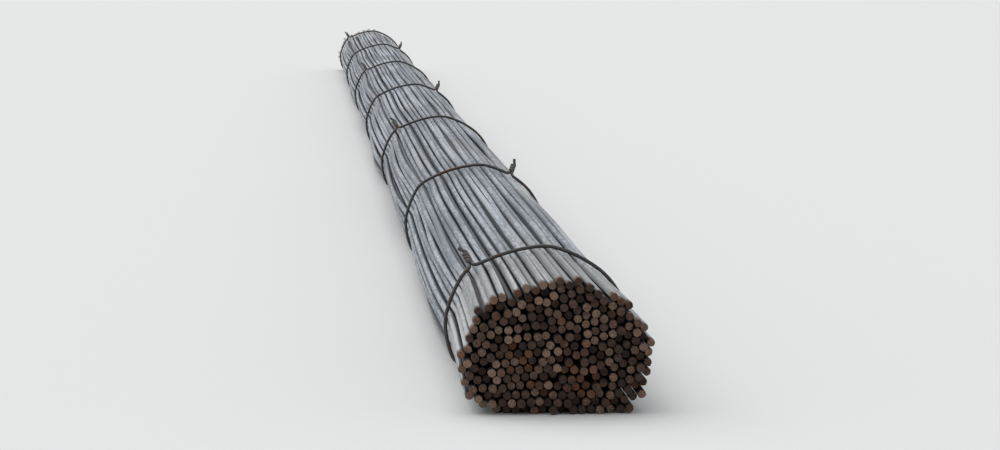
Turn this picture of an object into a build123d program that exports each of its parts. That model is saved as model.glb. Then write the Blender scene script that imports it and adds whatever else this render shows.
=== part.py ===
from build123d import *
import math
import os

import numpy

# A mill bundle of straight reinforcing bars, held by twisted ties of plain wire rod.
# Millimetres. Y runs along the bars and Z is up. The origin is the middle of the underside
# of the whole bundle, which rests on the floor on its ties.

# Bars: nominal size, without their ribs, and the room that the ribs keep between them
bar_diameter = 12.0
bar_length = 11700.0
bar_count = 276
bar_sides = 10
rib_room = 0.5
end_stagger = 14.0

# How the bars settle in the ties, in bar pitches: the heap's width over its height, how much
# of a round heap stays above the floor that flattens its underside, and how uneven it is
heap_aspect_ratio = 1.25
heap_sit_ratio = 0.75
heap_fill_ratio = 0.93
size_spread_ratio = 0.03
floor_ratio = 0.5

# The settling itself: bars start close together, are squeezed step by step and push apart
start_spacing_ratio = 0.62
squeeze_ratio = 0.03
push_ratio = 0.45
settle_limit_ratio = 0.001
smallest_ratio = 1e-9
squeeze_steps = 400
squeeze_rounds = 3
settle_steps = 2000

# Ties: wire rod pulled tight round the bundle, its two ends twisted together on top
wire_diameter = 6.0
wire_sides = 6
wire_clearance = 0.3
tie_count = 7
tie_inset = 430.0
tie_directions = 12
shortest_run = 6.0
corner_steps = 2

# The knot of a tie: the bend from the loop into the twist, and the twist itself
knot_headings = (120.0, 60.0)
knot_bend = 11.0
knot_bend_steps = 3
knot_rise = 25.0
knot_root = 4.0
knot_pitch = 26.0
knot_turn_count = 1.5
knot_tail = 6.0
steps_per_turn = 8

golden_angle = math.pi * (3 - math.sqrt(5))
low_discrepancy = 0.7548776662
row_height = math.sqrt(3) / 2

bar_pitch = bar_diameter + rib_room
# A bar's flats enclose the nominal round area, so its weight is right
bar_corner = bar_diameter / 2 * math.sqrt(
    2 * math.pi / (bar_sides * math.sin(2 * math.pi / bar_sides))
)
wire_radius = wire_diameter / 2
strand_offset = wire_radius + wire_clearance / 2
tie_offset = bar_corner + wire_clearance + wire_radius
tie_spacing = (bar_length - 2 * tie_inset) / (tie_count - 1)


def uneven(count):
    """Numbers from 0 to 1 that look random and never bunch, one for each of count things."""
    return (numpy.arange(count) * low_discrepancy) % 1.0


def settle_bars():
    """Bar centres across the bundle: a round heap that its weight and the ties squeeze."""
    index = numpy.arange(bar_count)
    sizes = 1 + size_spread_ratio * uneven(bar_count)
    reach = (sizes[:, None] + sizes[None, :]) / 2
    numpy.fill_diagonal(reach, 0)
    radius = start_spacing_ratio * numpy.sqrt(index + 0.5)
    round_radius = math.sqrt(bar_count * heap_fill_ratio / math.pi / heap_aspect_ratio)
    middle = round_radius * heap_sit_ratio
    across = radius * numpy.cos(index * golden_angle) * math.sqrt(heap_aspect_ratio)
    height = radius * numpy.sin(index * golden_angle) / math.sqrt(heap_aspect_ratio) + middle
    for step in range(squeeze_steps + settle_steps):
        squeezing = step < squeeze_steps
        if squeezing:
            pull = squeeze_ratio * (1 - step / squeeze_steps)
            across = across - pull * across / heap_aspect_ratio
            height = height - pull * (height - middle) * heap_aspect_ratio
        for _ in range(squeeze_rounds if squeezing else 1):
            right = across[:, None] - across[None, :]
            above = height[:, None] - height[None, :]
            apart = numpy.hypot(right, above) + smallest_ratio
            push = numpy.maximum(reach / apart - 1, 0) * push_ratio
            across = across + (push * right).sum(axis=1)
            height = numpy.maximum(height + (push * above).sum(axis=1), floor_ratio)
        if not squeezing and push.max() < settle_limit_ratio:
            break
    return across * bar_pitch, height * bar_pitch


def bar_solid(across, height, slip):
    """One straight bar, slipped along the bundle from its middle place."""
    start = Plane(
        origin=(across, slip - bar_length / 2, height), x_dir=(1, 0, 0), z_dir=(0, 1, 0)
    )
    return extrude(start * RegularPolygon(bar_corner, bar_sides), bar_length).solid()


def bar_layers(across, height):
    """The bars in layers from the lowest up, each layer a list of solids that don't touch."""
    slips = (uneven(bar_count) - 0.5) * end_stagger * 2
    layers = {}
    for x, z, slip in zip(across, height, slips):
        layer = int((z - min(height)) / (bar_pitch * row_height))
        layers.setdefault(layer, []).append(bar_solid(x, z, slip))
    return [layers[layer] for layer in sorted(layers)]


def tie_polygon(across, height):
    """The many-sided outline that the wire pulls tight round the bar centres: the heading of
    each side, which points outwards, and the corner where that side begins."""
    headings = [2 * math.pi * step / tie_directions for step in range(tie_directions)]
    while True:
        reaches = [max(across * math.cos(a) + height * math.sin(a)) for a in headings]
        corners = []
        for side, heading in enumerate(headings):
            last = headings[side - 1]
            turn = math.sin(heading - last)
            corners.append((
                (reaches[side - 1] * math.sin(heading) - reaches[side] * math.sin(last)) / turn,
                (reaches[side] * math.cos(last) - reaches[side - 1] * math.cos(heading)) / turn,
            ))
        runs = [math.dist(corners[side - 1], corners[side]) for side in range(len(corners))]
        kept = sorted(headings[side - 1] for side, run in enumerate(runs) if run > shortest_run)
        if len(kept) == len(headings):
            return headings, corners
        headings = kept


def outward(heading):
    """The direction across the bundle that a heading points in."""
    return Vector(math.cos(heading), 0, math.sin(heading))


def turn_points(centre, first, last, radius, steps):
    """The points of a wire that turns round a centre in short straight runs. The runs touch
    the true arc from outside. first and last point from the centre to the arc's two ends."""
    angle = math.radians(first.get_angle(last))
    side = (last - first * first.dot(last)).normalized()
    reach = radius / math.cos(angle / steps / 2)
    turns = [angle * (step + 0.5) / steps for step in range(steps)]
    return [centre + (first * math.cos(a) + side * math.sin(a)) * reach for a in turns]


def tie_solid(headings, corners, knot_heading):
    """One tie round the bundle at y = 0: a twisted end, the loop and the other twisted end."""
    sides = len(headings)
    knot = min(range(sides), key=lambda side: abs(headings[side] - math.radians(knot_heading)))
    points = [Vector(x, 0, z) for x, z in corners]
    out = outward(headings[knot])
    along = (points[(knot + 1) % sides] - points[knot]).normalized()
    rise = math.radians(knot_rise)
    lead = Vector(0, 1, 0) * math.cos(rise) + out * math.sin(rise)
    over = along.cross(lead)
    middle = (points[knot] + points[(knot + 1) % sides]) * 0.5 + out * tie_offset

    def strand(side):
        """One end of the wire, from the loop through its bend to the cut tip of the twist."""
        centre = middle + along * side * (strand_offset + knot_bend) + lead * knot_bend
        route = turn_points(centre, -lead, along * -side, knot_bend, knot_bend_steps)
        for step in range(round(knot_turn_count * steps_per_turn) + 1):
            angle = 2 * math.pi * step / steps_per_turn
            forwards = knot_bend + knot_root + knot_pitch * step / steps_per_turn
            sideways = (along * math.cos(angle) + over * math.sin(angle)) * side
            route.append(middle + lead * forwards + sideways * strand_offset)
        route[-1] = route[-1] + (route[-1] - route[-2]).normalized() * knot_tail
        return route

    route = strand(1)[::-1]
    for step in range(sides):
        here = outward(headings[(knot + step) % sides])
        there = outward(headings[(knot + step + 1) % sides])
        corner = points[(knot + step + 1) % sides]
        route += turn_points(corner, here, there, tie_offset, corner_steps)
    route += strand(-1)
    path = Polyline(*route)
    section = Plane(origin=path @ 0, z_dir=path % 0) * RegularPolygon(wire_radius, wire_sides)
    tie = sweep(section, path=path, transition=Transition.RIGHT).solid()
    print(f"tie: volume {tie.volume:.0f}, section times length {section.area * path.length:.0f}")
    return tie


across, height = settle_bars()
headings, corners = tie_polygon(across, height)
nodes = {}
for number, bars in enumerate(bar_layers(across, height), 1):
    nodes[f"bars_layer_{number:02d}"] = bars
ties = [tie_solid(headings, corners, knot_heading) for knot_heading in knot_headings]
for number in range(tie_count):
    station = (number - (tie_count - 1) / 2) * tie_spacing
    nodes[f"tie_{number + 1}"] = [ties[number % len(ties)].moved(Location((0, station, 0)))]

box = Compound([solid for solids in nodes.values() for solid in solids]).bounding_box()
to_origin = Location((-box.center().X, -box.center().Y, -box.min.Z))
os.makedirs("parts", exist_ok=True)
for name, solids in nodes.items():
    export_step(Compound(solids).moved(to_origin), f"parts/{name}.step")
print(f"{len(nodes)} nodes, {box.size.X:.1f} by {box.size.Y:.1f} by {box.size.Z:.1f}")
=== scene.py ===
"""Dresses a bundle of reinforcing bars: ribbed bars, rusty cut ends and twisted wire ties.

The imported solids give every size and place. Each layer of plain bars is replaced by bars that
lie as unevenly as real ones between the ties, ribbed where they show, and each plain tie by
round wire with a twisted knot. Everything is in metres, with Y along the bars and Z up.
"""

import logging
import math
from collections.abc import Iterable, Sequence
from dataclasses import dataclass, field
from enum import Enum

import bmesh
import bpy
import numpy
from mathutils import Matrix, Vector

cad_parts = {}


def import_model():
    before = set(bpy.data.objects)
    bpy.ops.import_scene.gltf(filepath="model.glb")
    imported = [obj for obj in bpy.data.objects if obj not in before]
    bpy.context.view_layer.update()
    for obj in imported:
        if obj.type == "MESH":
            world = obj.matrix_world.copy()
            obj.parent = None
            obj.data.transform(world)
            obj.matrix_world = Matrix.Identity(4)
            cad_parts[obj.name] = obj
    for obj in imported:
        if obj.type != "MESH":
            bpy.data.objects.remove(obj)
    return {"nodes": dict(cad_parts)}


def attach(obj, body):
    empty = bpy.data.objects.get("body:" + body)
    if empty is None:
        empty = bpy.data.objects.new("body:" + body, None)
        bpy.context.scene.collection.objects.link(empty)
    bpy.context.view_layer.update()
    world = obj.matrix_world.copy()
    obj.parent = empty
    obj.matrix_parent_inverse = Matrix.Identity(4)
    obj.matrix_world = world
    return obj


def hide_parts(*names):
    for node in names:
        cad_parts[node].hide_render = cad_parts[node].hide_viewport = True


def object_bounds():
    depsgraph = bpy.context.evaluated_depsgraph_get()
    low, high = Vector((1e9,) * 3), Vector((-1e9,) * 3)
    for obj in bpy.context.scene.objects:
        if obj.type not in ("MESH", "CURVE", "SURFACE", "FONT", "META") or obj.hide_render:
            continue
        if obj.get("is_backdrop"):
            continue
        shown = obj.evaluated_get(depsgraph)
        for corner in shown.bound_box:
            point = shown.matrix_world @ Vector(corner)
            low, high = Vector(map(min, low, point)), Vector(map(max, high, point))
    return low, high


LOG = logging.getLogger("rebar_bundle")
BODY = "root"
# How far out the loosest bar may lie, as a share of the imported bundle's half width
LOOSE_ROOM = 1.025

# Where a ramp is 0, and where it is 1
Ramp = tuple[float, float]


class Grade(Enum):
    """How finely a bar is drawn."""

    OUTER = "outer"
    INNER = "inner"


@dataclass(frozen=True)
class Colour:
    """A colour in linear light."""

    red: float
    green: float
    blue: float

    def rgba(self) -> tuple[float, float, float, float]:
        """The colour as a socket value."""
        return (self.red, self.green, self.blue, 1.0)


@dataclass(frozen=True)
class Grain:
    """A noise: its scale and detail, and how its place is stretched and shifted before it."""

    scale: float
    detail: float
    stretch: tuple[float, float, float] = (1.0, 1.0, 1.0)
    shift: tuple[float, float, float] = (0.0, 0.0, 0.0)


class Nodes:
    """A material's node tree, built with short calls."""

    # A Mix node's colour sockets by number, since its other kinds of socket bear the same names
    first_colour = 6
    second_colour = 7
    mixed_colour = 2
    noise_middle = 0.5

    def __init__(self, name: str) -> None:
        """Starts an empty material with a surface shader.

        Args:
            name: the material's name.
        """
        self.material = bpy.data.materials.new(name)
        self.material.use_nodes = True
        self.tree = self.material.node_tree
        self.shader = self.tree.nodes["Principled BSDF"]

    def node(self, kind: str, inputs: dict | None = None, **settings: object) -> bpy.types.Node:
        """Adds a node.

        Args:
            kind: the node's type name.
            inputs: values or sockets for its inputs, by name or number.
            settings: the node's own properties.

        Returns:
            The new node.
        """
        made = self.tree.nodes.new(kind)
        for key, value in settings.items():
            setattr(made, key, value)
        for key, value in (inputs or {}).items():
            self.feed(made.inputs[key], value)
        return made

    def feed(self, socket: bpy.types.NodeSocket, value: object) -> None:
        """Sets an input to a value, or links it to another node's output.

        Args:
            socket: the input.
            value: a plain value, a colour or an output socket.
        """
        if isinstance(value, bpy.types.NodeSocket):
            self.tree.links.new(value, socket)
        elif isinstance(value, Colour):
            socket.default_value = value.rgba()
        else:
            socket.default_value = value

    def maths(self, operation: str, *values: object, clamp: bool = False) -> bpy.types.NodeSocket:
        """Adds a Math node.

        Args:
            operation: the Math node's operation.
            values: its inputs in order.
            clamp: whether the result is kept between 0 and 1.

        Returns:
            The result's socket.
        """
        inputs = dict(enumerate(values))
        return self.node("ShaderNodeMath", inputs, operation=operation, use_clamp=clamp).outputs[0]

    def times(self, first: object, second: object) -> bpy.types.NodeSocket:
        """The product of two values."""
        return self.maths("MULTIPLY", first, second)

    def added(self, value: object, other: object, share: float) -> bpy.types.NodeSocket:
        """A value with a share of another one added to it."""
        return self.maths("MULTIPLY_ADD", other, share, value)

    def swayed(self, value: object, noise: bpy.types.NodeSocket, share: float) -> bpy.types.NodeSocket:
        """A value moved up and down by a share of a noise about its middle."""
        return self.added(value, self.maths("SUBTRACT", noise, self.noise_middle), share)

    def noise(self, place: bpy.types.NodeSocket, grain: Grain) -> bpy.types.NodeSocket:
        """Adds a Noise texture.

        Args:
            place: where the noise is read.
            grain: its scale, detail, stretch and shift.

        Returns:
            The noise's value, about 0.5 on average.
        """
        inputs = {"Vector": place, "Scale": grain.stretch, "Location": grain.shift}
        laid = self.node("ShaderNodeMapping", inputs).outputs[0]
        inputs = {"Vector": laid, "Scale": grain.scale, "Detail": grain.detail}
        return self.node("ShaderNodeTexNoise", inputs).outputs["Fac"]

    def ramp(self, value: object, ends: Ramp) -> bpy.types.NodeSocket:
        """Maps a value smoothly from 0 to 1.

        Args:
            value: the value.
            ends: where the result is 0, and where it is 1.

        Returns:
            The result's socket.
        """
        inputs = {"Value": value, "From Min": ends[0], "From Max": ends[1]}
        made = self.node("ShaderNodeMapRange", inputs, interpolation_type="SMOOTHSTEP")
        return made.outputs["Result"]

    def mix(self, share: object, first: object, second: object) -> bpy.types.NodeSocket:
        """Mixes two colours.

        Args:
            share: how much of the second shows.
            first: the first colour.
            second: the second colour.

        Returns:
            The mixed colour's socket.
        """
        inputs = {"Factor": share, self.first_colour: first, self.second_colour: second}
        made = self.node("ShaderNodeMix", inputs, data_type="RGBA")
        return made.outputs[self.mixed_colour]

    def attribute(self, name: str, output: str) -> bpy.types.NodeSocket:
        """Reads one of the mesh's own attributes.

        Args:
            name: the attribute's name.
            output: the output to take.

        Returns:
            The output's socket.
        """
        return self.node("ShaderNodeAttribute", attribute_name=name).outputs[output]

    def object_place(self) -> bpy.types.NodeSocket:
        """The place in the whole bundle."""
        return self.node("ShaderNodeTexCoord").outputs["Object"]

    def parts(self, place: bpy.types.NodeSocket) -> Sequence[bpy.types.NodeSocket]:
        """A place's X, Y and Z."""
        return self.node("ShaderNodeSeparateXYZ", {"Vector": place}).outputs

    def set_apart(
        self, place: bpy.types.NodeSocket, number: bpy.types.NodeSocket, across: float
    ) -> bpy.types.NodeSocket:
        """Moves a place by the bar's own number, so that no two bars look alike.

        Args:
            place: the place in the bar.
            number: the bar's number, from 0 to 1.
            across: how far the number moves the place along X. It moves it once along Z.

        Returns:
            The moved place.
        """
        offset = self.node("ShaderNodeCombineXYZ", {0: self.times(number, across), 2: number})
        inputs = {0: place, 1: offset.outputs[0]}
        return self.node("ShaderNodeVectorMath", inputs, operation="ADD").outputs[0]

    def bump(
        self, height: object, depth: float, strength: float, under: object = None
    ) -> bpy.types.NodeSocket:
        """Adds a Bump node.

        Args:
            height: the relief, from 0 to 1.
            depth: how deep the whole relief is.
            strength: how strongly it shows.
            under: a bump that this one lies on, if there is one.

        Returns:
            The bumped normal.
        """
        inputs = {"Height": height, "Distance": depth, "Strength": strength}
        if under is not None:
            inputs["Normal"] = under
        return self.node("ShaderNodeBump", inputs).outputs[0]

    def surface(
        self, colour: object, roughness: object, metal: object = 0.0, relief: object = None
    ) -> bpy.types.Material:
        """Feeds the shader and hands over the material.

        Args:
            colour: its base colour.
            roughness: its roughness.
            metal: how metallic it is.
            relief: its bumped normal, if it has one.

        Returns:
            The material.
        """
        self.feed(self.shader.inputs["Base Color"], colour)
        self.feed(self.shader.inputs["Roughness"], roughness)
        self.feed(self.shader.inputs["Metallic"], metal)
        if relief is not None:
            self.feed(self.shader.inputs["Normal"], relief)
        return self.material


@dataclass(frozen=True)
class BarShape:
    """The real bar's section and ribs, in metres."""

    half_length: float
    core_radius: float = 0.00564
    inner_radius: float = 0.0060
    seam_height: float = 0.00066
    seam_width: float = 0.0013
    seam_foot: float = 0.0021
    seam_root_share: float = 0.985
    half_points: int = 10
    rib_height: float = 0.00076
    rib_foot: float = 0.0024
    rib_distance: float = 0.0076
    rib_slant: float = 0.0066
    rib_sweep: float = math.radians(152)
    rib_steps: int = 6
    rib_root: float = 0.0002
    rib_tip: float = 0.00005
    rib_fullness: float = 0.6
    end_round: float = 0.0006

    def rib_spacing(self) -> float:
        """The distance from rib to rib that fills half a bar with whole steps."""
        return self.half_length / round(self.half_length / self.rib_distance)


@dataclass(frozen=True)
class BarReadings:
    """What the layers of the steel's finish read: the place in the bar, and its noises."""

    parts: Sequence[bpy.types.NodeSocket]
    number: bpy.types.NodeSocket
    from_end: bpy.types.NodeSocket
    long_patches: bpy.types.NodeSocket
    streaks: bpy.types.NodeSocket
    blotches: bpy.types.NodeSocket
    specks: bpy.types.NodeSocket


@dataclass(frozen=True)
class SteelFinish:
    """Mill scale on the bars: pale and dusty on their open side, with painted shade on their sides in
    the gaps between them and over the inner bars, darkest near the ends.
    """

    scale_dark: Colour = Colour(0.152, 0.177, 0.210)
    scale_light: Colour = Colour(0.392, 0.433, 0.476)
    # Painted shade: the colour of the bars' sides in the gaps and of the inner bars away from the ends;
    # the next colour is the deeper painted shade near the ends, also laid at the ribs' feet
    painted_gap_shade: Colour = Colour(0.088, 0.098, 0.112)
    painted_deep_shade_and_rib_dirt: Colour = Colour(0.022, 0.024, 0.029)
    rubbed: Colour = Colour(0.56, 0.57, 0.58)
    dust: Colour = Colour(0.60, 0.575, 0.515)
    bloom: Colour = Colour(0.330, 0.275, 0.205)
    rust: Colour = Colour(0.135, 0.064, 0.036)
    # Rust in painted shade, on the rusty ends' sides in the gaps
    rust_in_painted_shade: Colour = Colour(0.040, 0.019, 0.012)
    # A bar's own patches, streaks, blotches and specks, and those that neighbours share
    long_patches: Grain = Grain(1.0, 4.0, (40.0, 1.6, 40.0))
    streaks: Grain = Grain(1.0, 3.0, (420.0, 9.0, 420.0))
    blotches: Grain = Grain(1.0, 3.0, (200.0, 26.0, 200.0))
    specks: Grain = Grain(900.0, 4.0)
    shared_patches: Grain = Grain(1.0, 2.0, (11.0, 1.5, 11.0))
    warm_patches: Grain = Grain(1.0, 2.0, (9.0, 1.8, 9.0), (27.0, 12.6, 0.0))
    number_shift: float = 7.0
    # How strongly each of them sways the scale's tone
    number_tone: float = 0.30
    long_tone: float = 0.7
    shared_tone: float = 2.2
    streak_tone: float = 0.8
    blotch_tone: float = 2.0
    tone_ramp: Ramp = (0.18, 0.95)
    # The warm bloom on the scale
    bloom_patches: Ramp = (0.54, 0.70)
    bloom_specks: Ramp = (0.35, 0.65)
    bloom_share: float = 0.45
    # The dust, here and there and at the ends
    dust_specks: Ramp = (0.42, 0.75)
    dust_patches: Ramp = (0.35, 0.7)
    dust_ramp: Ramp = (0.75, 0.1)
    end_dust: float = 0.62
    dust_share: float = 0.5
    # The rubbed ribs, and the dirt and painted shade at their feet
    rib_window: Ramp = (0.98, 0.55)
    rib_flank: float = 0.3
    foot_reach: float = 1.9
    crest_share: float = 0.30
    foot_dirt_and_shade_share: float = 0.32
    # The open side, and the painted shade on the bars' sides in the gaps, darkest at the ends
    edge_sway: float = 0.5
    open_ramp: Ramp = (-0.08, 0.60)
    gap_shade_ramp: Ramp = (0.15, 1.2)
    # The rusty last centimetres and the stains
    rust_streaks: float = 0.06
    rust_specks: float = 0.05
    rust_ramp: Ramp = (0.028, 0.0084)
    end_rust: float = 0.85
    stain_specks: Ramp = (0.56, 0.70)
    stain_patches: Ramp = (0.50, 0.68)
    stain_rust: float = 0.7
    # The surface itself
    roughness: float = 0.52
    rust_roughness: float = 0.35
    speck_roughness: float = 0.12
    metal: float = 0.30
    pit_depth: float = 0.00012
    pit_strength: float = 0.7

    def make(self, shape: BarShape) -> bpy.types.Material:
        """Builds the material.

        Args:
            shape: the bar's section and length, for its ribs and its rusty ends.

        Returns:
            The material.
        """
        kit = Nodes("mill_scale_steel")
        read = self._readings(kit, shape)
        crest, foot = self._ribs(kit, shape, read.parts)
        steel = self._dusted(kit, read, self._scale(kit, read))
        steel = kit.mix(kit.times(crest, self.crest_share), steel, self.rubbed)
        # The ribs' feet are darkened with the deep painted shade colour: partly dirt, partly painted
        # shade
        steel = kit.mix(kit.times(foot, self.foot_dirt_and_shade_share), steel, self.painted_deep_shade_and_rib_dirt)
        # Painted shade: where a point faces other bars, or lies on an inner bar, the steel and its rust
        # give way to dark colours, darkest near the ends
        edge = kit.swayed(kit.attribute("open_side", "Fac"), read.streaks, self.edge_sway)
        opened = kit.ramp(edge, self.open_ramp)
        gap_shade_colour = kit.mix(kit.ramp(read.from_end, self.gap_shade_ramp), self.painted_deep_shade_and_rib_dirt, self.painted_gap_shade)
        rust = kit.mix(opened, self.rust_in_painted_shade, self.rust)
        rusty = self._rusty(kit, read)
        colour = kit.mix(rusty, kit.mix(opened, gap_shade_colour, steel), rust)
        rough = kit.added(self.roughness, rusty, self.rust_roughness)
        rough = kit.added(rough, read.specks, self.speck_roughness)
        metal = kit.times(kit.maths("SUBTRACT", 1.0, rusty), self.metal)
        pits = kit.bump(read.specks, self.pit_depth, self.pit_strength)
        ribs = kit.times(crest, kit.attribute("bump_ribs", "Fac"))
        return kit.surface(colour, rough, metal, kit.bump(ribs, shape.rib_height, 1.0, pits))

    def _readings(self, kit: Nodes, shape: BarShape) -> BarReadings:
        """Reads the place in the bar and the noises that several layers use.

        Args:
            kit: the material's nodes.
            shape: the bar's length.

        Returns:
            The readings.
        """
        place = kit.attribute("bar_place", "Vector")
        number = kit.attribute("bar_number", "Fac")
        parts = kit.parts(place)
        own = kit.set_apart(place, number, self.number_shift)
        return BarReadings(
            parts=parts,
            number=number,
            from_end=kit.maths("SUBTRACT", shape.half_length, kit.maths("ABSOLUTE", parts[1])),
            long_patches=kit.noise(own, self.long_patches),
            streaks=kit.noise(own, self.streaks),
            blotches=kit.noise(own, self.blotches),
            specks=kit.noise(own, self.specks),
        )

    def _scale(self, kit: Nodes, read: BarReadings) -> bpy.types.NodeSocket:
        """The mill scale, from dark to light, with its warm bloom.

        Args:
            kit: the material's nodes.
            read: the bar's readings.

        Returns:
            Its colour.
        """
        world = kit.object_place()
        tone = kit.added(kit.times(read.long_patches, self.long_tone), read.number, self.number_tone)
        tone = kit.swayed(tone, kit.noise(world, self.shared_patches), self.shared_tone)
        tone = kit.swayed(tone, read.streaks, self.streak_tone)
        tone = kit.swayed(tone, read.blotches, self.blotch_tone)
        scale = kit.mix(kit.ramp(tone, self.tone_ramp), self.scale_dark, self.scale_light)
        warm = kit.ramp(kit.noise(world, self.warm_patches), self.bloom_patches)
        warm = kit.times(warm, kit.ramp(read.specks, self.bloom_specks))
        return kit.mix(kit.times(warm, self.bloom_share), scale, self.bloom)

    def _dusted(
        self, kit: Nodes, read: BarReadings, steel: bpy.types.NodeSocket
    ) -> bpy.types.NodeSocket:
        """Lays dust on the scale, most of it near the ends.

        Args:
            kit: the material's nodes.
            read: the bar's readings.
            steel: the colour under the dust.

        Returns:
            The dusted colour.
        """
        specks = kit.ramp(read.specks, self.dust_specks)
        dusty = kit.times(specks, kit.ramp(read.long_patches, self.dust_patches))
        at_end = kit.ramp(read.from_end, self.dust_ramp)
        dusty = kit.maths("MULTIPLY_ADD", at_end, self.end_dust, dusty, clamp=True)
        return kit.mix(kit.times(dusty, self.dust_share), steel, self.dust)

    def _rusty(self, kit: Nodes, read: BarReadings) -> bpy.types.NodeSocket:
        """Where rust covers the steel: the last centimetres of a bar and a few stains.

        Args:
            kit: the material's nodes.
            read: the bar's readings.

        Returns:
            The rust's share, from 0 to 1.
        """
        uneven_end = kit.swayed(read.from_end, read.streaks, self.rust_streaks)
        uneven_end = kit.swayed(uneven_end, read.specks, self.rust_specks)
        at_end = kit.times(kit.ramp(uneven_end, self.rust_ramp), self.end_rust)
        stains = kit.ramp(read.specks, self.stain_specks)
        stains = kit.times(stains, kit.ramp(read.long_patches, self.stain_patches))
        return kit.maths("MAXIMUM", at_end, kit.times(stains, self.stain_rust))

    def _ribs(
        self, kit: Nodes, shape: BarShape, parts: Sequence[bpy.types.NodeSocket]
    ) -> tuple[bpy.types.NodeSocket, bpy.types.NodeSocket]:
        """Where the slanted ribs run: the same places as the modelled ones.

        Args:
            kit: the material's nodes.
            shape: the bar's section.
            parts: the sockets of the place in the bar.

        Returns:
            The ribs' height and the band at their feet, where dirt and painted shade are laid, each
            from 0 to 1.
        """
        across = kit.maths("DIVIDE", parts[0], shape.core_radius)
        turn = kit.maths("ARCSINE", kit.maths("MINIMUM", kit.maths("MAXIMUM", across, -1.0), 1.0))
        slant = kit.times(turn, shape.rib_slant / shape.rib_sweep)
        along = kit.maths("MULTIPLY_ADD", slant, kit.maths("SIGN", parts[2]), parts[1])
        fraction = kit.maths("FRACT", kit.maths("DIVIDE", along, shape.rib_spacing()))
        off_crest = kit.maths("ABSOLUTE", kit.maths("SUBTRACT", fraction, 0.5))
        window = kit.ramp(kit.maths("ABSOLUTE", across), self.rib_window)
        side = shape.rib_foot / shape.rib_spacing() / 2
        crest = kit.times(kit.ramp(off_crest, (side, side * self.rib_flank)), window)
        beside = kit.times(kit.ramp(off_crest, (side * self.foot_reach, side)), window)
        return crest, kit.maths("SUBTRACT", beside, crest, clamp=True)


@dataclass(frozen=True)
class CutEndFinish:
    """The sheared ends of the bars: dark rust with some lighter, drier faces."""

    dark: Colour = Colour(0.030, 0.015, 0.010)
    middle: Colour = Colour(0.122, 0.067, 0.046)
    pale: Colour = Colour(0.380, 0.255, 0.180)
    orange: Colour = Colour(0.22, 0.085, 0.028)
    grain: Grain = Grain(1300.0, 4.0)
    patches: Grain = Grain(260.0, 2.0)
    areas: Grain = Grain(14.0, 2.0)
    number_shift: float = 3.0
    number_scramble: float = 17.31
    patch_tone: float = 0.9
    middle_ramp: Ramp = (0.15, 0.65)
    pale_ramp: Ramp = (0.62, 0.95)
    pale_grain: Ramp = (0.35, 0.65)
    orange_areas: Ramp = (0.50, 0.64)
    orange_bars: Ramp = (0.35, 0.8)
    orange_share: float = 0.8
    shade_grain: Ramp = (0.25, 0.6)
    # The bundle's left side is a little paler and more orange
    left_ramp: Ramp = (0.0, -0.13)
    left_tone: float = 0.20
    left_orange: float = 0.06
    roughness: float = 0.86
    pit_depth: float = 0.0003
    pit_strength: float = 0.8

    def make(self) -> bpy.types.Material:
        """Builds the material.

        Returns:
            The material.
        """
        kit = Nodes("rusty_cut_end")
        number = kit.attribute("bar_number", "Fac")
        own = kit.set_apart(kit.attribute("bar_place", "Vector"), number, self.number_shift)
        world = kit.object_place()
        grain = kit.noise(own, self.grain)
        left = kit.ramp(kit.parts(world)[0], self.left_ramp)
        tone = kit.swayed(number, kit.noise(own, self.patches), self.patch_tone)
        tone = kit.added(tone, left, self.left_tone)
        rust = kit.mix(kit.ramp(tone, self.middle_ramp), self.dark, self.middle)
        dry = kit.times(kit.ramp(tone, self.pale_ramp), kit.ramp(grain, self.pale_grain))
        rust = kit.mix(dry, rust, self.pale)
        area = kit.added(kit.noise(world, self.areas), left, self.left_orange)
        chance = kit.maths("FRACT", kit.times(number, self.number_scramble))
        warm = kit.times(kit.ramp(area, self.orange_areas), kit.ramp(chance, self.orange_bars))
        rust = kit.mix(kit.times(warm, self.orange_share), rust, self.orange)
        colour = kit.mix(kit.ramp(grain, self.shade_grain), self.dark, rust)
        pits = kit.bump(grain, self.pit_depth, self.pit_strength)
        return kit.surface(colour, self.roughness, relief=pits)


@dataclass(frozen=True)
class WireFinish:
    """The ties' wire rod: black oxide, rubbed and a little rusty."""

    oxide: Colour = Colour(0.040, 0.040, 0.043)
    rubbed: Colour = Colour(0.120, 0.116, 0.113)
    rust: Colour = Colour(0.115, 0.052, 0.028)
    broad: Grain = Grain(35.0, 3.0)
    fine: Grain = Grain(700.0, 4.0)
    rubbed_grain: Ramp = (0.40, 0.72)
    rust_areas: Ramp = (0.48, 0.66)
    rust_grain: Ramp = (0.35, 0.6)
    roughness: float = 0.5
    rust_roughness: float = 0.3
    metal: float = 0.4
    pit_depth: float = 0.0002
    pit_strength: float = 0.7

    def make(self) -> bpy.types.Material:
        """Builds the material.

        Returns:
            The material.
        """
        kit = Nodes("dark_wire_rod")
        place = kit.object_place()
        fine = kit.noise(place, self.fine)
        steel = kit.mix(kit.ramp(fine, self.rubbed_grain), self.oxide, self.rubbed)
        rusty = kit.ramp(kit.noise(place, self.broad), self.rust_areas)
        rusty = kit.times(rusty, kit.ramp(fine, self.rust_grain))
        rough = kit.added(self.roughness, rusty, self.rust_roughness)
        metal = kit.times(kit.maths("SUBTRACT", 1.0, rusty), self.metal)
        pits = kit.bump(fine, self.pit_depth, self.pit_strength)
        return kit.surface(kit.mix(rusty, steel, self.rust), rough, metal, pits)


def ring_edges(points: Iterable[bmesh.types.BMVert]) -> list[bmesh.types.BMEdge]:
    """The edges that join a ring's points, each once and in the points' order."""
    return list(dict.fromkeys(edge for point in points for edge in point.link_edges))


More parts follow.
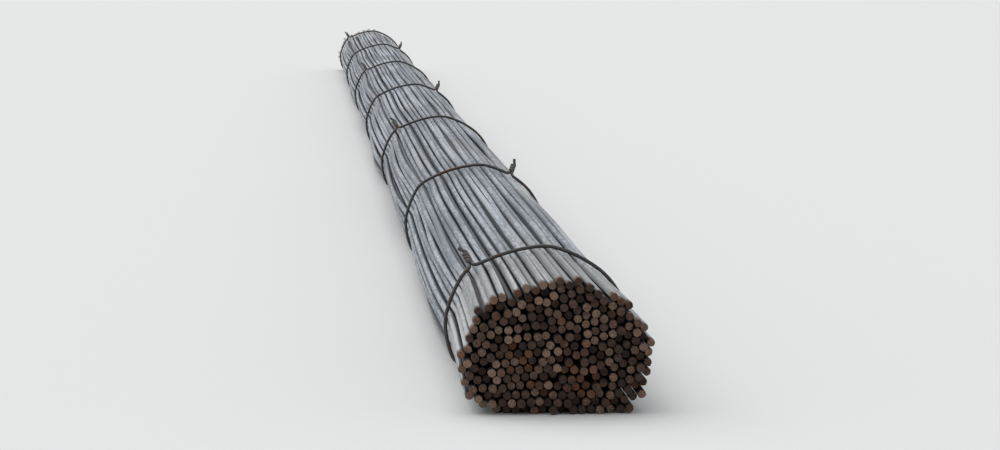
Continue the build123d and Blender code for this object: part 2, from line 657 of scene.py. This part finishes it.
def extruded(
    work: bmesh.types.BMesh, ring: list[bmesh.types.BMEdge]
) -> tuple[list[bmesh.types.BMVert], list[bmesh.types.BMEdge]]:
    """Extrudes a ring of edges in place.

    Args:
        work: the mesh.
        ring: the ring's edges.

    Returns:
        The new ring's points and its edges.
    """
    made = bmesh.ops.extrude_edge_only(work, edges=ring)["geom"]
    points = [item for item in made if isinstance(item, bmesh.types.BMVert)]
    edges = [item for item in made if isinstance(item, bmesh.types.BMEdge)
             and item.verts[0] in points and item.verts[1] in points]
    return points, edges


def added_piece(mesh: bpy.types.Mesh, node: str) -> bpy.types.Object:
    """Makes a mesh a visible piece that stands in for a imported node.

    Args:
        mesh: the piece's mesh.
        node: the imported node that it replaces.

    Returns:
        The piece.
    """
    piece = bpy.data.objects.new(mesh.name, mesh)
    bpy.context.scene.collection.objects.link(piece)
    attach(piece, BODY)
    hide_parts(node)
    LOG.info("%s: %d faces", piece.name, len(mesh.polygons))
    return piece


@dataclass
class Bar:
    """One bar as the frame gives it: its place across the bundle and its two ends."""

    layer: str
    x: float
    z: float
    start: float
    end: float
    grade: Grade = Grade.INNER
    open_heading: float = 0.0


@dataclass
class PackedBundle:
    """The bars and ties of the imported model, read from the solids of its nodes."""

    nodes: dict[str, bpy.types.Object]
    # A bar is an outer one if this wide an angle holds no neighbour within this reach
    open_gap: float = math.radians(115)
    neighbour_reach: float = 0.0195
    # Corners closer than this are one point
    same_point: float = 1e-6
    # How far above its lowest point a tie's wire still counts as lying under the bundle
    underside_band: float = 0.006
    layers: list[str] = field(init=False)
    ties: list[str] = field(init=False)
    bars: list[Bar] = field(init=False)

    def __post_init__(self) -> None:
        """Finds every bar of every layer, and marks the outer ones."""
        self.layers = sorted(name for name in self.nodes if name.startswith("bars_layer"))
        self.ties = sorted(name for name in self.nodes if name.startswith("tie"))
        self.bars = [bar for layer in self.layers for bar in self._bars_of(layer)]
        self._mark_outer()

    def tie_stations(self) -> list[float]:
        """The places of the ties' loops along the bundle.

        Returns:
            Each loop's place, taken as the middle of the lowest stretch of its wire.
        """
        stations = []
        for name in self.ties:
            points = numpy.array([tuple(vertex.co) for vertex in self.nodes[name].data.vertices])
            low = points[points[:, 2] < points[:, 2].min() + self.underside_band]
            stations.append(float((low[:, 1].min() + low[:, 1].max()) / 2))
        return stations

    def _bars_of(self, layer: str) -> list[Bar]:
        """Finds the bars of one layer as the loose pieces of its mesh.

        Args:
            layer: the node's name.

        Returns:
            The bars.
        """
        solid = bmesh.new()
        solid.from_mesh(self.nodes[layer].data)
        bmesh.ops.remove_doubles(solid, verts=solid.verts, dist=self.same_point)
        unseen = set(solid.verts)
        found = []
        while unseen:
            bar = []
            waiting = [unseen.pop()]
            while waiting:
                vertex = waiting.pop()
                bar.append(tuple(vertex.co))
                for edge in vertex.link_edges:
                    other = edge.other_vert(vertex)
                    if other in unseen:
                        unseen.remove(other)
                        waiting.append(other)
            points = numpy.array(bar)
            middle = (points.min(axis=0) + points.max(axis=0)) / 2
            found.append(Bar(layer, middle[0], middle[2], points[:, 1].min(), points[:, 1].max()))
        solid.free()
        return sorted(found, key=lambda bar: (bar.x, bar.z))

    def _mark_outer(self) -> None:
        """Marks the bars that show from outside, and the heading in which each has no neighbour."""
        places = numpy.array([(bar.x, bar.z) for bar in self.bars])
        for bar, place in zip(self.bars, places):
            away = places - place
            distance = numpy.hypot(away[:, 0], away[:, 1])
            near = (distance > 0) & (distance < self.neighbour_reach)
            angles = numpy.sort(numpy.arctan2(away[near, 1], away[near, 0]))
            gaps = numpy.diff(numpy.append(angles, angles[0] + 2 * math.pi))
            widest = int(gaps.argmax())
            if gaps[widest] > self.open_gap:
                bar.grade = Grade.OUTER
                bar.open_heading = float(angles[widest] + gaps[widest] / 2)


@dataclass
class BundleLay:
    """Where every bar runs: close in the ties, and loose and uneven between them."""

    bars: list[Bar]
    ties: list[float]
    floor: float
    widest: float
    seed: int = 7
    # Stations between two ties, and past the last tie at either end
    steps_per_span: int = 14
    steps_at_end: int = 8
    # A bar's own waves to either side, and its bow outwards
    wander: float = 0.0023
    waves: int = 3
    wave_sum: float = 2.2
    shortest_wave: float = 1.7
    longest_wave: float = 4.5
    bow: float = 0.0058
    end_looseness: float = 0.45
    # The whole bundle between two ties, and its spread at the ends
    swell: float = 0.038
    pinch: float = 0.8
    sag: float = 0.0022
    splay: float = 0.052
    splay_curve: float = 1.35
    # How the loose bars drop onto each other and push apart
    fall: float = 0.0003
    rounds: int = 40
    falling_rounds: int = 27
    smoothings: int = 2
    closest: float = 0.01225
    push: float = 0.45
    unmoved: float = 1e-7
    stations: numpy.ndarray = field(init=False)
    tracks: numpy.ndarray = field(init=False)

    def __post_init__(self) -> None:
        """Works out the stations and every bar's track through them."""
        first = min(bar.start for bar in self.bars)
        last = max(bar.end for bar in self.bars)
        stops = [first, *self.ties, last]
        places = []
        for number, (a, b) in enumerate(zip(stops, stops[1:])):
            at_end = number in (0, len(stops) - 2)
            steps = self.steps_at_end if at_end else self.steps_per_span
            places += list(numpy.linspace(a, b, steps, endpoint=False))
        self.stations = numpy.array([*places, last])
        self.tracks = self._settled(self._loosened())

    def _looseness(self) -> tuple[numpy.ndarray, numpy.ndarray]:
        """How loose the bundle is at each station.

        Returns:
            The looseness between two ties, and past the last tie at either end.
        """
        between = numpy.zeros(len(self.stations))
        past = numpy.zeros(len(self.stations))
        for number, y in enumerate(self.stations):
            if y <= self.ties[0]:
                share = (self.ties[0] - y) / (self.ties[0] - self.stations[0])
                past[number] = share ** self.splay_curve
            elif y >= self.ties[-1]:
                share = (y - self.ties[-1]) / (self.stations[-1] - self.ties[-1])
                past[number] = share ** self.splay_curve
            else:
                span = next(i for i in range(1, len(self.ties)) if y <= self.ties[i])
                share = (y - self.ties[span - 1]) / (self.ties[span] - self.ties[span - 1])
                between[number] = max(math.sin(math.pi * share), 0.0) ** self.pinch
        return between, past

    def _waves(self, rng: numpy.random.Generator) -> numpy.ndarray:
        """Smooth random waves along the bundle, one for each bar.

        Args:
            rng: the source of chance.

        Returns:
            Values of about -1 to 1, by station and bar.
        """
        total = numpy.zeros((len(self.stations), len(self.bars)))
        for _ in range(self.waves):
            length = rng.uniform(self.shortest_wave, self.longest_wave, len(self.bars))
            phase = rng.uniform(0, 2 * math.pi, len(self.bars))
            total += numpy.sin(2 * math.pi * self.stations[:, None] / length + phase)
        return total / self.wave_sum

    def _loosened(self) -> numpy.ndarray:
        """The bars' tracks before they push each other apart.

        Returns:
            The tracks, by station, bar and axis (X, then Z).
        """
        rng = numpy.random.default_rng(self.seed)
        packed = numpy.array([(bar.x, bar.z) for bar in self.bars])
        middle = numpy.array([0.0, packed[:, 1].mean()])
        outward = packed - middle
        distance = numpy.hypot(outward[:, 0], outward[:, 1])[:, None]
        outer = numpy.array([bar.grade is Grade.OUTER for bar in self.bars])
        between, past = self._looseness()
        loose = numpy.maximum(between, self.end_looseness * past)[:, None]
        tracks = numpy.repeat(packed[None], len(self.stations), axis=0)
        tracks[:, :, 0] += loose * self.wander * self._waves(rng)
        tracks[:, :, 1] += loose * self.wander * self._waves(rng)
        lift = numpy.maximum(self._waves(rng), 0.0) * outer * self.bow * loose
        spread = self.swell * between[:, None] + self.splay * past[:, None]
        tracks += (outward / distance)[None] * lift[:, :, None] + outward[None] * spread[:, :, None]
        tracks[:, :, 1] -= self.sag * between[:, None]
        return tracks

    def _settled(self, tracks: numpy.ndarray) -> numpy.ndarray:
        """Lets loose bars drop onto each other at every station, then evens each track.

        Args:
            tracks: the loosened tracks.

        Returns:
            The settled tracks.
        """
        apart_from_self = numpy.eye(len(self.bars))
        packed = numpy.array([(bar.x, bar.z) for bar in self.bars])
        loose = numpy.maximum(*self._looseness())
        for number, places in enumerate(tracks):
            # In a tie the bars lie as packed
            if numpy.abs(places - packed).max() < self.unmoved:
                continue
            for step in range(self.rounds):
                drop = self.fall * loose[number] * max(1 - step / self.falling_rounds, 0)
                places[:, 1] -= drop
                across = places[:, None, 0] - places[None, :, 0]
                above = places[:, None, 1] - places[None, :, 1]
                distance = numpy.sqrt(across * across + above * above) + apart_from_self
                push = numpy.maximum(self.closest / distance - 1, 0) * self.push
                places[:, 0] += (push * across).sum(axis=1)
                places[:, 1] += (push * above).sum(axis=1)
                places[:, 0] = numpy.clip(places[:, 0], -self.widest, self.widest)
                places[:, 1] = numpy.maximum(places[:, 1], self.floor)
        held = numpy.isin(self.stations, self.ties)
        held[[0, -1]] = True
        for _ in range(self.smoothings):
            evened = tracks.copy()
            evened[1:-1] = (tracks[:-2] + 2 * tracks[1:-1] + tracks[2:]) / 4
            evened[held] = tracks[held]
            tracks = evened
        return tracks

    def at(self, bar: int, y: numpy.ndarray) -> tuple[numpy.ndarray, numpy.ndarray]:
        """A bar's place across the bundle at some places along it.

        Args:
            bar: the bar's number.
            y: the places along the bundle.

        Returns:
            Its X and its Z at each.
        """
        x = numpy.interp(y, self.stations, self.tracks[:, bar, 0])
        z = numpy.interp(y, self.stations, self.tracks[:, bar, 1])
        return x, z


@dataclass
class BarTemplate:
    """One straight bar along Y, centred on the origin, that every bar of its grade copies."""

    shape: BarShape
    grade: Grade
    rings: list[float]
    ribbed: tuple[float, float]
    mesh: bpy.types.Mesh = field(init=False)
    place: bmesh.types.BMLayerItem = field(init=False)
    bump: bmesh.types.BMLayerItem = field(init=False)

    def __post_init__(self) -> None:
        """Builds the bar's tube, its cut ends and its ribs."""
        work = bmesh.new()
        self.place = work.verts.layers.float_vector.new("bar_place")
        self.bump = work.verts.layers.float.new("bump_ribs")
        self._tube(work)
        if self.grade is Grade.OUTER:
            self._ribs(work)
        bmesh.ops.recalc_face_normals(work, faces=work.faces)
        self._record_places(work)
        self.mesh = bpy.data.meshes.new(f"bar_template_{self.grade.value}")
        work.to_mesh(self.mesh)
        work.free()

    def _section(self, vertex: bmesh.types.BMVert, number: int) -> None:
        """Moves a point of the first ring onto the bar's section, with its two seams.

        Each half of the ring holds a seam's two crest points and its foot, then the points of
        the round side, and last the near foot of the other seam.

        Args:
            vertex: the point.
            number: its number round the ring.
        """
        shape = self.shape
        radius = shape.core_radius if self.grade is Grade.OUTER else shape.inner_radius
        crest = shape.core_radius + shape.seam_height
        root = radius * shape.seam_root_share
        seam = [
            (crest, -shape.seam_width / 2),
            (crest, shape.seam_width / 2),
            (root, shape.seam_foot / 2),
        ]
        side = 1 if number < shape.half_points else -1
        step = number % shape.half_points
        if step < len(seam):
            x, z = seam[step]
        elif step == shape.half_points - 1:
            x, z = root, -shape.seam_foot / 2
            side = -side
        else:
            angle = math.pi * (step - len(seam) + 1) / (shape.half_points - len(seam))
            x = radius * math.cos(angle)
            z = radius * math.sin(angle)
        vertex.co = (side * x, -shape.half_length, side * z)

    def _tube(self, work: bmesh.types.BMesh) -> None:
        """Draws the bar's section through its rings and closes its cut ends.

        Args:
            work: the bar's mesh.
        """
        circle = bmesh.ops.create_circle(
            work, segments=2 * self.shape.half_points, radius=self.shape.core_radius
        )
        for number, vertex in enumerate(circle["verts"]):
            self._section(vertex, number)
        edges = ring_edges(circle["verts"])
        first = edges
        for here, there in zip(self.rings, self.rings[1:]):
            moved, edges = extruded(work, edges)
            bmesh.ops.translate(work, verts=moved, vec=(0, there - here, 0))
        bmesh.ops.recalc_face_normals(work, faces=work.faces)
        for face in work.faces:
            face.smooth = True
        for ring, way in ((first, -1), (edges, 1)):
            for edge in ring:
                edge.smooth = False
            cap = bmesh.ops.contextual_create(work, geom=ring)["faces"]
            inset = bmesh.ops.inset_region(
                work, faces=cap, thickness=self.shape.end_round, use_even_offset=True
            )
            for face in [*cap, *inset["faces"]]:
                face.material_index = 1
                face.smooth = False
            tip = {vertex for face in cap for vertex in face.verts}
            bmesh.ops.translate(work, verts=list(tip), vec=(0, way * self.shape.end_round, 0))

    def _ribs(self, work: bmesh.types.BMesh) -> None:
        """Adds the slanted ribs along the ribbed stretches at both ends, on both sides.

        Args:
            work: the bar's mesh.
        """
        spacing = self.shape.rib_spacing()
        for way, reach in ((-1, self.ribbed[0]), (1, self.ribbed[1])):
            for number in range(int(reach / spacing)):
                along = way * (self.shape.half_length - spacing * (number + 0.5))
                for side in (0, 1):
                    self._rib(work, along, side)

    def _rib(self, work: bmesh.types.BMesh, along: float, side: int) -> None:
        """Adds one rib: a small wedge spun part of the way round the bar, with tapered ends.

        Args:
            work: the bar's mesh.
            along: its middle along the bar.
            side: 0 for the upper side, 1 for the lower.
        """
        shape = self.shape
        low = shape.core_radius - shape.rib_root
        half = shape.rib_foot / 2
        start = along - shape.rib_slant / 2
        corners = [(low, start - half, 0), (low + shape.rib_tip, start, 0), (low, start + half, 0)]
        wedge = [work.verts.new(corner) for corner in corners]
        face = work.faces.new(wedge)
        begin = (math.pi - shape.rib_sweep) / 2 + side * math.pi
        turn = Matrix.Rotation(-begin, 4, "Y")
        bmesh.ops.transform(work, matrix=turn, verts=wedge)
        known = len(work.verts)
        bmesh.ops.spin(
            work, geom=[face], cent=(0, 0, 0), axis=(0, -1, 0), angle=shape.rib_sweep,
            steps=shape.rib_steps, dvec=(0, shape.rib_slant / shape.rib_steps, 0),
        )
        work.verts.ensure_lookup_table()
        made = work.verts[known:]
        # Only the wedge's crest rises, highest in the middle of the rib
        for vertex in made:
            across = Vector((vertex.co.x, 0, vertex.co.z))
            if across.length > low + shape.rib_tip / 2:
                share = (math.atan2(across.z, across.x) - begin) % (2 * math.pi) / shape.rib_sweep
                swell = max(math.sin(math.pi * min(share, 1.0)), 0.0) ** shape.rib_fullness
                rise = shape.rib_tip + (shape.rib_root + shape.rib_height) * swell
                vertex.co += across.normalized() * (low + rise - across.length)
        for vertex in made:
            for item in vertex.link_faces:
                item.smooth = True

    def _record_places(self, work: bmesh.types.BMesh) -> None:
        """Writes each point's place in the bar, and where the finish draws the ribs.

        Args:
            work: the bar's mesh.
        """
        for vertex in work.verts:
            vertex[self.place] = vertex.co
            reach = self.ribbed[0] if vertex.co.y < 0 else self.ribbed[1]
            modelled = self.shape.half_length - abs(vertex.co.y) < reach
            vertex[self.bump] = 0.0 if modelled and self.grade is Grade.OUTER else 1.0


@dataclass
class BarLayers:
    """The ribbed bars, one piece for each packed layer."""

    packed: PackedBundle
    lay: BundleLay
    shape: BarShape
    steel: bpy.types.Material
    cut_end: bpy.types.Material
    # How much a sheared end tilts, and the length of bar that follows it
    end_tilt: float = 0.10
    tilt_reach: float = 0.004
    seed: int = 21
    # How far from either end the ribs are modelled
    near_ribs: float = 0.42
    far_ribs: float = 0.14
    # How many stations an inner bar keeps at either end, and its step through the rest
    near_rings: int = 9
    far_rings: int = 8
    ring_step: int = 4

    def _templates(self) -> dict[Grade, BarTemplate]:
        """Builds a straight bar of each grade, the inner one with fewer rings between its ends.

        Returns:
            The straight bars by grade.
        """
        half = self.shape.half_length
        inside = [float(y) for y in self.lay.stations[1:-1]]
        near, far = self.near_rings, self.far_rings
        sparse = [*inside[:near], *inside[near:-far:self.ring_step], *inside[-far:]]
        ribbed = (self.near_ribs, self.far_ribs)
        return {
            grade: BarTemplate(self.shape, grade, [-half, *rings, half], ribbed)
            for grade, rings in ((Grade.OUTER, inside), (Grade.INNER, sparse))
        }

    def build(self) -> list[bpy.types.Object]:
        """Builds every layer.

        Returns:
            The pieces.
        """
        templates = self._templates()
        rng = numpy.random.default_rng(self.seed)
        pieces = []
        for layer in self.packed.layers:
            numbers = [i for i, bar in enumerate(self.packed.bars) if bar.layer == layer]
            pieces.append(self._layer(layer, numbers, templates, rng))
        for template in templates.values():
            bpy.data.meshes.remove(template.mesh)
        return pieces

    def _layer(
        self,
        layer: str,
        numbers: list[int],
        templates: dict[Grade, BarTemplate],
        rng: numpy.random.Generator,
    ) -> bpy.types.Object:
        """Builds one layer's piece from copies of the straight bars.

        Args:
            layer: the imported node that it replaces.
            numbers: the numbers of its bars.
            templates: the straight bar of each grade.
            rng: the source of chance.

        Returns:
            The piece.
        """
        work = bmesh.new()
        for number in numbers:
            work.from_mesh(templates[self.packed.bars[number].grade].mesh)
        mesh = bpy.data.meshes.new(f"ribbed_{layer}")
        work.to_mesh(mesh)
        work.free()
        flat = numpy.empty(len(mesh.vertices) * 3, dtype=numpy.float32)
        mesh.vertices.foreach_get("co", flat)
        points = flat.reshape(-1, 3).astype(float)
        chance = numpy.empty(len(mesh.vertices), dtype=numpy.float32)
        # open_side: how far each point faces out of the bundle, -1 on inner bars; the steel finish
        # paints shade where it is low
        open_side = numpy.full(len(mesh.vertices), -1, dtype=numpy.float32)
        begin = 0
        for number in numbers:
            bar = self.packed.bars[number]
            count = len(templates[bar.grade].mesh.vertices)
            chosen = slice(begin, begin + count)
            points[chosen], across, above = self._bent(number, points[chosen], rng)
            chance[chosen] = rng.uniform()
            if bar.grade is Grade.OUTER:
                outward = across * math.cos(bar.open_heading) + above * math.sin(bar.open_heading)
                open_side[chosen] = outward / self.shape.core_radius
            begin += count
        mesh.vertices.foreach_set("co", points.astype(numpy.float32).ravel())
        mesh.attributes.new("bar_number", "FLOAT", "POINT").data.foreach_set("value", chance)
        mesh.attributes.new("open_side", "FLOAT", "POINT").data.foreach_set("value", open_side)
        mesh.materials.append(self.steel)
        mesh.materials.append(self.cut_end)
        mesh.update()
        return added_piece(mesh, layer)

    def _bent(
        self, number: int, points: numpy.ndarray, rng: numpy.random.Generator
    ) -> tuple[numpy.ndarray, numpy.ndarray, numpy.ndarray]:
        """Turns a straight bar about its own axis, tilts its cuts and lays it on its track.

        Args:
            number: the bar's number.
            points: the straight bar's points.
            rng: the source of chance.

        Returns:
            The bar's points in the bundle, and their X and Z from the bar's own axis.
        """
        bar = self.packed.bars[number]
        turn = rng.uniform(0, math.pi)
        tilt = rng.normal(0, self.end_tilt, (2, 2))
        half = (bar.end - bar.start) / 2
        x = points[:, 0] * math.cos(turn) - points[:, 2] * math.sin(turn)
        z = points[:, 0] * math.sin(turn) + points[:, 2] * math.cos(turn)
        y = points[:, 1].copy()
        for end, way in enumerate((-1, 1)):
            near = numpy.clip(1 - (half - way * points[:, 1]) / self.tilt_reach, 0, 1)
            y += near * (x * tilt[end, 0] + z * tilt[end, 1])
        y += (bar.start + bar.end) / 2
        track_x, track_z = self.lay.at(number, y)
        return numpy.stack([track_x + x, y, track_z + z], axis=1), x, z


@dataclass
class Ties:
    """The wire ties: a loop pulled round the bars, and its two ends twisted together."""

    packed: PackedBundle
    stations: list[float]
    finish: bpy.types.Material
    bar_reach: float = 0.0062
    wire_radius: float = 0.0030
    wire_flats: int = 10
    # The loop, which rounds a corner by the wire's stiffness and wavers along the bundle
    loop_steps: int = 120
    stiffness: float = math.radians(10)
    stiffness_steps: int = 21
    slope_step: float = 0.001
    shortest_run: float = 1e-5
    wobble: float = 0.0045
    # The knot: the bends out of the loop, the twist that rises from it and its two tails
    bend: float = 0.011
    bend_steps: int = 5
    root: float = 0.003
    rise: float = math.radians(25)
    turns: float = 1.75
    twist_pitch: float = 0.021
    steps_per_turn: int = 14
    strand_gap: float = 0.0001
    tails: tuple[float, float] = (0.009, 0.006)
    tail_spread: float = 0.55
    knot_headings: tuple[float, float] = (math.radians(120), math.radians(60))
    seed: int = 5
    centres: numpy.ndarray = field(init=False)

    def __post_init__(self) -> None:
        """Reads where the bars lie across the bundle."""
        self.centres = numpy.array([(bar.x, bar.z) for bar in self.packed.bars])

    def build(self) -> list[bpy.types.Object]:
        """Builds every tie.

        Returns:
            The pieces.
        """
        rng = numpy.random.default_rng(self.seed)
        return [self._tie(number, node, rng) for number, node in enumerate(self.packed.ties)]

    def _tight(self, headings: numpy.ndarray) -> numpy.ndarray:
        """How far out the farthest bar centre lies in each direction.

        Args:
            headings: the directions across the bundle.

        Returns:
            The reach in each direction.
        """
        ways = numpy.stack([numpy.cos(headings), numpy.sin(headings)])
        return (self.centres @ ways).max(axis=0)

    def _reaches(self, headings: numpy.ndarray) -> numpy.ndarray:
        """How far out the wire's middle runs in each direction, rounded by the wire's stiffness.

        Args:
            headings: the directions across the bundle.

        Returns:
            The reach of the loop's outline in each direction.
        """
        spread = numpy.linspace(-self.stiffness, self.stiffness, self.stiffness_steps)
        rounded = numpy.mean([self._tight(headings + turn) for turn in spread], axis=0)
        standing_off = (self._tight(headings) - rounded).max()
        return rounded + standing_off + self.bar_reach + self.wire_radius

    def _loop(self, knot_heading: float, rng: numpy.random.Generator) -> list[Vector]:
        """The loop's route round the bars, from the knot and back to it.

        Args:
            knot_heading: the direction in which the knot stands.
            rng: the source of chance.

        Returns:
            The points, anticlockwise.
        """
        turns = numpy.linspace(0, 2 * math.pi, self.loop_steps + 1)
        headings = knot_heading + turns
        step = self.slope_step
        reach = self._reaches(headings)
        slope = (self._reaches(headings + step) - self._reaches(headings - step)) / (2 * step)
        x = reach * numpy.cos(headings) - slope * numpy.sin(headings)
        z = reach * numpy.sin(headings) + slope * numpy.cos(headings)
        z = numpy.maximum(z, self.wire_radius)
        phases = rng.uniform(0, 2 * math.pi, 2)
        # The waver fades out at the knot, where both ends of the loop meet
        waves = numpy.sin(turns + phases[0]) + 0.5 * numpy.sin(3 * turns + phases[1])
        y = self.wobble * waves * (1 - numpy.cos(turns)) / 2
        return [Vector(place) for place in zip(x, y, z)]

    def _strand(self, side: int, middle: Vector, along: Vector, lead: Vector) -> list[Vector]:
        """One end of the wire: its bend out of the loop, its turns in the twist and its tail.

        Args:
            side: 1 or -1, the side of the knot that it comes from.
            middle: the knot's middle on the loop.
            along: the loop's direction there.
            lead: the twist's direction.

        Returns:
            The points, from the loop to the tip.
        """
        over = along.cross(lead)
        offset = self.wire_radius + self.strand_gap
        centre = middle + along * (offset + self.bend) * side + lead * self.bend
        points = []
        for step in range(self.bend_steps + 1):
            angle = math.pi / 2 * step / self.bend_steps
            back = lead * math.cos(angle) + along * side * math.sin(angle)
            points.append(centre - back * self.bend)
        for step in range(round(self.turns * self.steps_per_turn) + 1):
            angle = 2 * math.pi * step / self.steps_per_turn
            forwards = self.bend + self.root + self.twist_pitch * step / self.steps_per_turn
            around = (along * math.cos(angle) + over * math.sin(angle)) * side * offset
            points.append(middle + lead * forwards + around)
        last = (points[-1] - points[-2]).normalized()
        apart = around.normalized()
        tail = self.tails[0] if side > 0 else self.tails[1]
        for share in (0.5, 1.0):
            points.append(points[-1] + (last + apart * self.tail_spread * share) * tail / 2)
        return points

    def _tie(self, number: int, node: str, rng: numpy.random.Generator) -> bpy.types.Object:
        """Builds one tie.

        Args:
            number: the tie's number.
            node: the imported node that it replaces.
            rng: the source of chance.

        Returns:
            The piece.
        """
        heading = self.knot_headings[number % len(self.knot_headings)]
        loop = self._loop(heading, rng)
        out = Vector((math.cos(heading), 0, math.sin(heading)))
        along = Vector((-out.z, 0, out.x))
        lead = Vector((0, math.cos(self.rise), 0)) + out * math.sin(self.rise)
        middle = loop[0]
        clear = self.bend + self.wire_radius + self.strand_gap
        loop = [point for point in loop if (point - middle).length > clear]
        wire = self._strand(1, middle, along, lead)[::-1] + loop + self._strand(-1, middle, along, lead)
        station = Vector((0, self.stations[number], 0))
        mesh = self._drawn(f"wire_{node}", [point + station for point in wire])
        return added_piece(mesh, node)

    def _drawn(self, name: str, route: list[Vector]) -> bpy.types.Mesh:
        """Draws round wire along a route by extruding a ring from point to point.

        Args:
            name: the mesh's name.
            route: the points that the wire follows.

        Returns:
            The mesh.
        """
        route = [point for point, last in zip(route, [None, *route])
                 if last is None or (point - last).length > self.shortest_run]
        ways = [(b - a).normalized() for a, b in zip(route, route[1:])]
        ways = [ways[0], *[(a + b).normalized() for a, b in zip(ways, ways[1:])], ways[-1]]
        work = bmesh.new()
        ring = bmesh.ops.create_circle(work, segments=self.wire_flats, radius=self.wire_radius)["verts"]
        turn = Vector((0, 0, 1)).rotation_difference(ways[0]).to_matrix().to_4x4()
        bmesh.ops.transform(work, matrix=Matrix.Translation(route[0]) @ turn, verts=ring)
        edges = ring_edges(ring)
        first = edges
        for here, there, way, following in zip(route, route[1:], ways, ways[1:]):
            moved, edges = extruded(work, edges)
            turn = way.rotation_difference(following).to_matrix().to_4x4()
            place = Matrix.Translation(there) @ turn @ Matrix.Translation(-here)
            bmesh.ops.transform(work, matrix=place, verts=moved)
        for face in work.faces:
            face.smooth = True
        for end in (first, edges):
            cap = bmesh.ops.contextual_create(work, geom=end)["faces"]
            for edge in end:
                edge.smooth = False
            for face in cap:
                face.smooth = False
        bmesh.ops.recalc_face_normals(work, faces=work.faces)
        mesh = bpy.data.meshes.new(name)
        work.to_mesh(mesh)
        work.free()
        mesh.materials.append(self.finish)
        return mesh


@dataclass
class Studio:
    """The pale floor, the soft light and the camera at the photograph's angle."""

    near_end: float
    face_height: float
    # Where the camera stands, seen from the middle of the near end, and its view
    stand_back: float = 4.80
    step_left: float = 0.38
    eye_over_face: float = 0.607
    lens: float = 122.0
    aim_right: float = math.radians(3.55)
    aim_down: float = math.radians(5.05)
    sight: float = 2000.0
    floor_size: float = 900.0
    floor_colour: Colour = Colour(0.84, 0.84, 0.83)
    floor_roughness: float = 0.9
    sky_colour: Colour = Colour(0.95, 0.975, 1.0)
    seen_sky: Colour = Colour(0.80, 0.81, 0.82)
    sky_strength: float = 0.50
    sun_strength: float = 1.55
    sun_width: float = math.radians(70)
    sun_from: tuple[float, float, float] = (-0.35, 0.45, 1.0)

    def build(self) -> None:
        """Makes the floor, the lights and the camera."""
        self._floor()
        self._light()
        self._camera()

    def _floor(self) -> None:
        """Lays the floor under the bundle."""
        work = bmesh.new()
        bmesh.ops.create_grid(work, x_segments=1, y_segments=1, size=self.floor_size / 2)
        mesh = bpy.data.meshes.new("studio_floor")
        work.to_mesh(mesh)
        work.free()
        mesh.materials.append(Nodes("pale_floor").surface(self.floor_colour, self.floor_roughness))
        floor = bpy.data.objects.new("studio_floor", mesh)
        bpy.context.scene.collection.objects.link(floor)
        floor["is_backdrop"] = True

    def _light(self) -> None:
        """Sets a soft overcast sky, brighter from above and behind the bundle."""
        world = bpy.data.worlds.new("studio_world")
        world.use_nodes = True
        tree = world.node_tree
        light = tree.nodes["Background"]
        light.inputs["Color"].default_value = self.sky_colour.rgba()
        light.inputs["Strength"].default_value = self.sky_strength
        seen = tree.nodes.new("ShaderNodeBackground")
        seen.inputs["Color"].default_value = self.seen_sky.rgba()
        path = tree.nodes.new("ShaderNodeLightPath")
        share = path.outputs["Is Camera Ray"]
        for name in ("Is Glossy Ray", "Is Transmission Ray"):
            larger = tree.nodes.new("ShaderNodeMath")
            larger.operation = "MAXIMUM"
            tree.links.new(share, larger.inputs[0])
            tree.links.new(path.outputs[name], larger.inputs[1])
            share = larger.outputs[0]
        mixed = tree.nodes.new("ShaderNodeMixShader")
        tree.links.new(share, mixed.inputs[0])
        tree.links.new(light.outputs[0], mixed.inputs[1])
        tree.links.new(seen.outputs[0], mixed.inputs[2])
        tree.links.new(mixed.outputs[0], tree.nodes["World Output"].inputs["Surface"])
        bpy.context.scene.world = world
        lamp = bpy.data.lights.new("overcast_sun", "SUN")
        lamp.energy = self.sun_strength
        lamp.angle = self.sun_width
        sun = bpy.data.objects.new("overcast_sun", lamp)
        sun.rotation_mode = "QUATERNION"
        sun.rotation_quaternion = Vector(self.sun_from).to_track_quat("Z", "Y")
        bpy.context.scene.collection.objects.link(sun)

    def _camera(self) -> None:
        """Places the camera at the photograph's angle and narrows its view to the bundle."""
        lens = bpy.data.cameras.new("photo_camera")
        lens.lens = self.lens
        lens.clip_end = self.sight
        camera = bpy.data.objects.new("photo_camera", lens)
        camera.location = (
            -self.step_left,
            self.near_end - self.stand_back,
            self.face_height + self.eye_over_face,
        )
        way = Vector((
            math.sin(self.aim_right) * math.cos(self.aim_down),
            math.cos(self.aim_right) * math.cos(self.aim_down),
            -math.sin(self.aim_down),
        ))
        camera.rotation_mode = "QUATERNION"
        camera.rotation_quaternion = way.to_track_quat("-Z", "Y")
        bpy.context.scene.collection.objects.link(camera)
        bpy.context.scene.camera = camera


def main() -> None:
    """Builds the pieces in order and reports each one."""
    logging.basicConfig(level=logging.INFO, format="%(message)s")
    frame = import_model()
    cad_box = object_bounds()
    bpy.context.scene.view_settings.view_transform = "Standard"
    packed = PackedBundle(frame["nodes"])
    outer = sum(bar.grade is Grade.OUTER for bar in packed.bars)
    LOG.info("%d bars, %d of them outer", len(packed.bars), outer)
    stations = packed.tie_stations()
    shape = BarShape(half_length=(packed.bars[0].end - packed.bars[0].start) / 2)
    reach = shape.core_radius + shape.rib_height
    lay = BundleLay(packed.bars, stations, reach, cad_box[1].x * LOOSE_ROOM - reach)
    steel = SteelFinish().make(shape)
    BarLayers(packed, lay, shape, steel, CutEndFinish().make()).build()
    Ties(packed, stations, WireFinish().make()).build()
    near_end = min(bar.start for bar in packed.bars)
    face_height = float(numpy.mean([bar.z for bar in packed.bars]))
    Studio(near_end, face_height).build()


if __name__ == "__main__":
    main()
